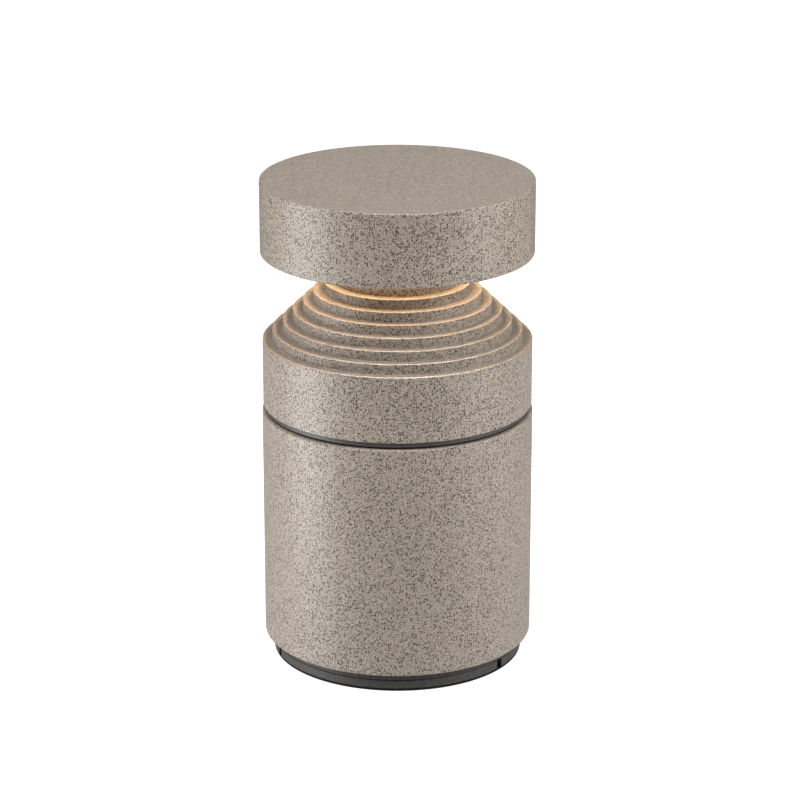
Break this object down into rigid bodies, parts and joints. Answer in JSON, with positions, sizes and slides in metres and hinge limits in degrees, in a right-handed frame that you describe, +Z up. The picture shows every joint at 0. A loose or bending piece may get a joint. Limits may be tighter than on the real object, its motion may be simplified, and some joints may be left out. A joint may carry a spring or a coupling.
{
  "type": "garden path light",
  "caption": "Low drum-shaped garden light with a stone-effect finish: pedestal, stepped cone lit from above, and flat drum cap.",
  "frame": {"origin": "middle of the underside of the base gasket, on the ground", "axes": "+Z up along the axis of the drum; -Y is the front"},
  "size_m": [0.1656, 0.1656, 0.3],
  "materials": {
    "stone_coat": "matt textured stone-effect powder coat, greige with fine dark speckle",
    "dark_coat": "matt anthracite powder coat",
    "rubber": "matt black EPDM",
    "silicone": "translucent grey silicone",
    "cast_aluminium": "as cast, lightly blasted",
    "steel": "stainless steel",
    "brass": "machined, slightly dulled",
    "black_plastic": "glass-filled nylon",
    "white_plastic": "satin",
    "led_board": "white solder mask",
    "diffuser": "frosted acrylic, lit warm white",
    "cable_sheath": "smooth black rubber sheath"
  },
  "bodies": {
    "ground_base": {"base_gasket": "rubber", "ground_plate": "dark_coat", "gland_body": "black_plastic", "gland_seal": "rubber", "gland_nut": "black_plastic"},
    "pedestal": {"foot_ring": "dark_coat", "foot_screw_1": "steel", "foot_screw_2": "steel", "foot_screw_3": "steel", "pedestal_shell": "stone_coat", "seam_gasket": "rubber", "seam_ring": "dark_coat", "seam_screw_1": "steel", "seam_screw_2": "steel", "seam_screw_3": "steel", "head_seal": "rubber", "driver_bracket": "steel", "bracket_screw_1": "steel", "bracket_screw_2": "steel", "led_driver": "white_plastic", "driver_screw_1": "steel", "driver_screw_2": "steel", "terminal_block": "white_plastic", "mains_lead": "cable_sheath", "output_lead": "cable_sheath", "lead_socket": "black_plastic"},
    "head": {"stepped_housing": "stone_coat", "neck_tube": "brass", "neck_nut_lower": "brass", "neck_nut_upper": "brass", "hub_spacer": "cast_aluminium", "cap_shell": "stone_coat", "cap_underplate": "stone_coat", "underplate_screw_1": "steel", "underplate_screw_2": "steel", "underplate_screw_3": "steel", "heatsink": "cast_aluminium", "heatsink_screw_1": "steel", "heatsink_screw_2": "steel", "heatsink_screw_3": "steel", "led_board": "led_board", "reflector_ring": "white_plastic", "diffuser_ring": "diffuser", "diffuser_gasket": "silicone", "lead_plug": "black_plastic", "led_lead": "cable_sheath"}
  },
  "joints": [
    {"name": "pedestal_twist", "type": "hinge", "parent": "ground_base", "child": "pedestal", "pos_m": [0, 0, 0.0073], "axis": [0, 0, 1], "range_deg": [0, 30]},
    {"name": "head_twist", "type": "hinge", "parent": "pedestal", "child": "head", "pos_m": [0, 0, 0.1604], "axis": [0, 0, 1], "range_deg": [0, 30]}
  ]
}
